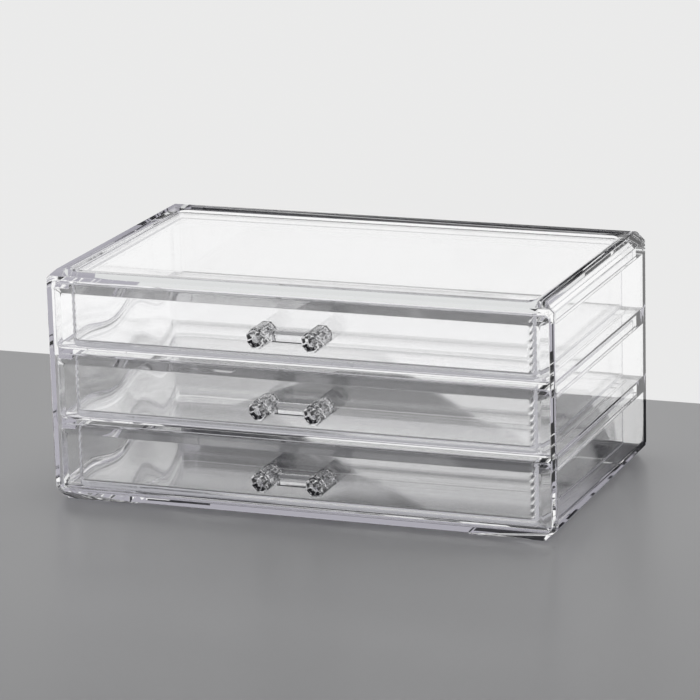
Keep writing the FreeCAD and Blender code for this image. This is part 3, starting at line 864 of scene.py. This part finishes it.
def makePins(level, sizes):
    s = knobSettings
    low, high = cornersOf(level + "_handle_pins")
    slim = (high.z - low.z) / 2 - s["pinClearance"]
    ends = [(low.y, slim - s["ease"], 0), (low.y + s["ease"], slim, 0),
            (high.y - s["ease"], slim, 0), (high.y, slim - s["ease"], 0)]
    pins = ringedPiece(level + "HandlePins", ends, s["segments"])
    work = bmesh.new()
    for side in (-1, 1):
        place = Matrix.Translation((side * sizes["Knob Spacing"] / 2, 0, sizes["Height"]))
        start = len(work.verts)
        work.from_mesh(pins.data)
        work.verts.ensure_lookup_table()
        bmesh.ops.transform(work, matrix=place, verts=work.verts[start:])
    work.to_mesh(pins.data)
    work.free()
    finishPiece(pins, clearHandle, [level + "_handle_pins"], 0)


handleLow, handleHigh = cornersOf("bottom_handle")
knobPattern = makeKnob(handleLow.y, handleHigh.y)
handleTree = makeHandleTree(knobPattern, handleSizes("bottom"))
for level in levelNames:
    levelSizes = handleSizes(level)
    handle = growPiece(level + "DrawerHandle", handleTree, levelSizes, clearHandle)
    finishPiece(handle, clearHandle, [level + "_handle"], knobSettings["ease"], segments=2)
    makePins(level, levelSizes)
bpy.data.objects.remove(knobPattern)
print("stage: handles made")


# the table, the studio and the camera: mirrored rays meet a painted pale reflection and a painted black
# shade on the table in place of its own shading

turnedOnce = 0.5                 # a ray whose glossy depth is above this has been mirrored

table = {
    "front": -1.2,
    "back": 0.1655,
    "halfWidth": 1.2,
    "height": -0.0001,           # a hair under the feet, so that their soles and the table stay apart
    "colour": (0.31, 0.31, 0.315, 1),
    "roughness": 0.3,
    "paintedPaleReflection": (0.80, 0.80, 0.80, 1),     # a painted pale reflection: the glowing tone that mirrored rays meet on the table in front of the organizer and a painted black shade, which they meet under and behind it
    "paintedBlackShade": (0.03, 0.03, 0.033, 1),    # and under and behind it
    "paintedReflectionFade": (-0.10, -0.07),
}


def makeTableMaterial():
    material = newMaterial("paleTable")
    tree = material.node_tree
    top = addNode(tree, "ShaderNodeBsdfPrincipled", 0, 0)
    top.inputs["Base Color"].default_value = table["colour"]
    top.inputs["Roughness"].default_value = table["roughness"]
    coordinates = addNode(tree, "ShaderNodeTexCoord", -800, -400)
    place = addNode(tree, "ShaderNodeSeparateXYZ", -600, -400)
    isBehind = mapRange(tree, place.outputs["Y"], table["paintedReflectionFade"], -400, -400)
    # painted on the table as emission: a pale painted reflection and a painted black shade, seen only by
    # mirrored rays
    paintedOnTable = addNode(tree, "ShaderNodeEmission", 0, -400)
    tone = mixTones(tree, isBehind, table["paintedPaleReflection"], table["paintedBlackShade"], -200, -400)
    feed(tree, paintedOnTable.inputs["Color"], tone)
    path = addNode(tree, "ShaderNodeLightPath", -200, 400)
    choose = addNode(tree, "ShaderNodeMixShader", 300, 0)
    mirrored = calculate(tree, path.outputs["Glossy Depth"], turnedOnce, "GREATER_THAN", 0, 400)
    feed(tree, choose.inputs["Fac"], mirrored)
    out = addNode(tree, "ShaderNodeOutputMaterial", 500, 0)
    connect(tree,
            (coordinates, "Object", place, "Vector"),
            (top, "BSDF", choose, 1),
            (paintedOnTable, "Emission", choose, 2),
            (choose, "Shader", out, "Surface"))
    return material


def makeTable():
    mesh = bpy.data.meshes.new("tableTop")
    half, front, back, height = (table[key] for key in ("halfWidth", "front", "back", "height"))
    corners = [(-half, front, height), (half, front, height), (half, back, height), (-half, back, height)]
    mesh.from_pydata(corners, [], [(0, 1, 2, 3)])
    mesh.materials.append(makeTableMaterial())
    newPiece("tableTop", mesh)


makeTable()

studio = {
    "backdrop": (0.825, 0.825, 0.823, 1),
    "darkRoom": (0.02, 0.02, 0.023, 1),
    "sides": (0.10, 0.36),       # the white sheet behind fades in between these, along Y
    "top": (0.33, 0.41),         # and fades out between these, upwards
    "ceiling": (0.56, 0.70),     # above a dark gap the pale ceiling fades in
    "ceilingGrey": 0.7,
    "seenThrough": 1.2,          # how strong the backdrop is through the plastic; it stays under white
}


def makeStudio():
    world = bpy.data.worlds.new("studio")
    scene.world = world
    world.use_nodes = True
    tree = world.node_tree
    tree.nodes.clear()
    coordinates = addNode(tree, "ShaderNodeTexCoord", -1100, 0)
    direction = addNode(tree, "ShaderNodeSeparateXYZ", -900, 0)
    y, z = direction.outputs["Y"], direction.outputs["Z"]
    behind = mapRange(tree, y, studio["sides"], -700, 300, interpolation_type="SMOOTHSTEP")
    sheetTop = mapRange(tree, z, studio["top"], -700, 0, (1.0, 0.0), interpolation_type="SMOOTHSTEP")
    ceiling = mapRange(tree, z, studio["ceiling"], -700, -300, (0.0, studio["ceilingGrey"]),
                       interpolation_type="SMOOTHSTEP")
    upwards = calculate(tree, sheetTop, ceiling, "MAXIMUM", -500, -100)
    sheet = calculate(tree, behind, upwards, "MULTIPLY", -350, 0)
    path = addNode(tree, "ShaderNodeLightPath", -700, 700)
    through = path.outputs["Is Transmission Ray"]
    unmirrored = calculate(tree, path.outputs["Glossy Depth"], turnedOnce, "LESS_THAN", -500, 600)
    lookThrough = calculate(tree, through, unmirrored, "MULTIPLY", -350, 600)
    straight = calculate(tree, lookThrough, path.outputs["Is Camera Ray"], "MAXIMUM", -200, 400)
    seen = calculate(tree, sheet, straight, "MAXIMUM", -50, 0)
    back = addNode(tree, "ShaderNodeBackground", 300, 0)
    feed(tree, back.inputs["Color"], mixTones(tree, seen, studio["darkRoom"], studio["backdrop"], 100, 0))
    feed(tree, back.inputs["Strength"],
         mapRange(tree, through, (0.0, 1.0), 100, 400, (1.0, studio["seenThrough"])))
    out = addNode(tree, "ShaderNodeOutputWorld", 500, 0)
    connect(tree,
            (coordinates, "Generated", direction, "Vector"),
            (back, "Background", out, "Surface"))


makeStudio()

softbox = {
    "size": (0.9, 0.6),
    "energy": 13,
    "place": (0, 0.1, 1.3),
    "aim": (0, 0, 0),
}


def placeSoftbox():
    lamp = bpy.data.lights.new("overheadSoftbox", "AREA")
    lamp.shape = "RECTANGLE"
    lamp.size, lamp.size_y = softbox["size"]
    lamp.energy = softbox["energy"]
    lampObject = bpy.data.objects.new("overheadSoftbox", lamp)
    lampObject.location = softbox["place"]
    aim = Vector(softbox["aim"]) - lampObject.location
    lampObject.rotation_euler = aim.to_track_quat("-Z", "Y").to_euler()
    lampObject.visible_glossy = False            # the plastic shows the studio's sheet, not the lamp
    lampObject.visible_transmission = False
    scene.collection.objects.link(lampObject)


placeSoftbox()

shot = {
    "azimuth": 21.1468,          # degrees
    "elevation": 15.1106,
    "roll": -1.5531,
    "distance": 1.72213,
    "lens": 193.02,
    "sensor": 36,
    "clipStart": 0.05,
    "target": (-0.000754, 0.007035, 0.059932),
}


def placeCamera():
    azimuth, elevation, roll = (math.radians(shot[key]) for key in ("azimuth", "elevation", "roll"))
    back = Vector((math.sin(azimuth) * math.cos(elevation),
                   -math.cos(azimuth) * math.cos(elevation), math.sin(elevation)))
    right = Vector((math.cos(azimuth), math.sin(azimuth), 0))
    up = back.cross(right)
    rolledRight = right * math.cos(roll) + up * math.sin(roll)
    rolledUp = up * math.cos(roll) - right * math.sin(roll)
    data = bpy.data.cameras.new("studioCamera")
    data.lens = shot["lens"]
    data.sensor_width = shot["sensor"]
    data.clip_start = shot["clipStart"]
    camera = bpy.data.objects.new("studioCamera", data)
    turn = Matrix((rolledRight, rolledUp, back)).transposed().to_4x4()
    camera.matrix_world = Matrix.Translation(Vector(shot["target"]) + back * shot["distance"]) @ turn
    scene.collection.objects.link(camera)
    scene.camera = camera


placeCamera()
scene.view_settings.view_transform = "Standard"
bounces = {
    "max_bounces": 40,
    "transmission_bounces": 40,
    "glossy_bounces": 24,
    "diffuse_bounces": 2,
    "transparent_max_bounces": 64,
}
for name, count in bounces.items():
    setattr(scene.cycles, name, count)
scene.cycles.use_denoising = True
print("stage: table, studio and camera set")
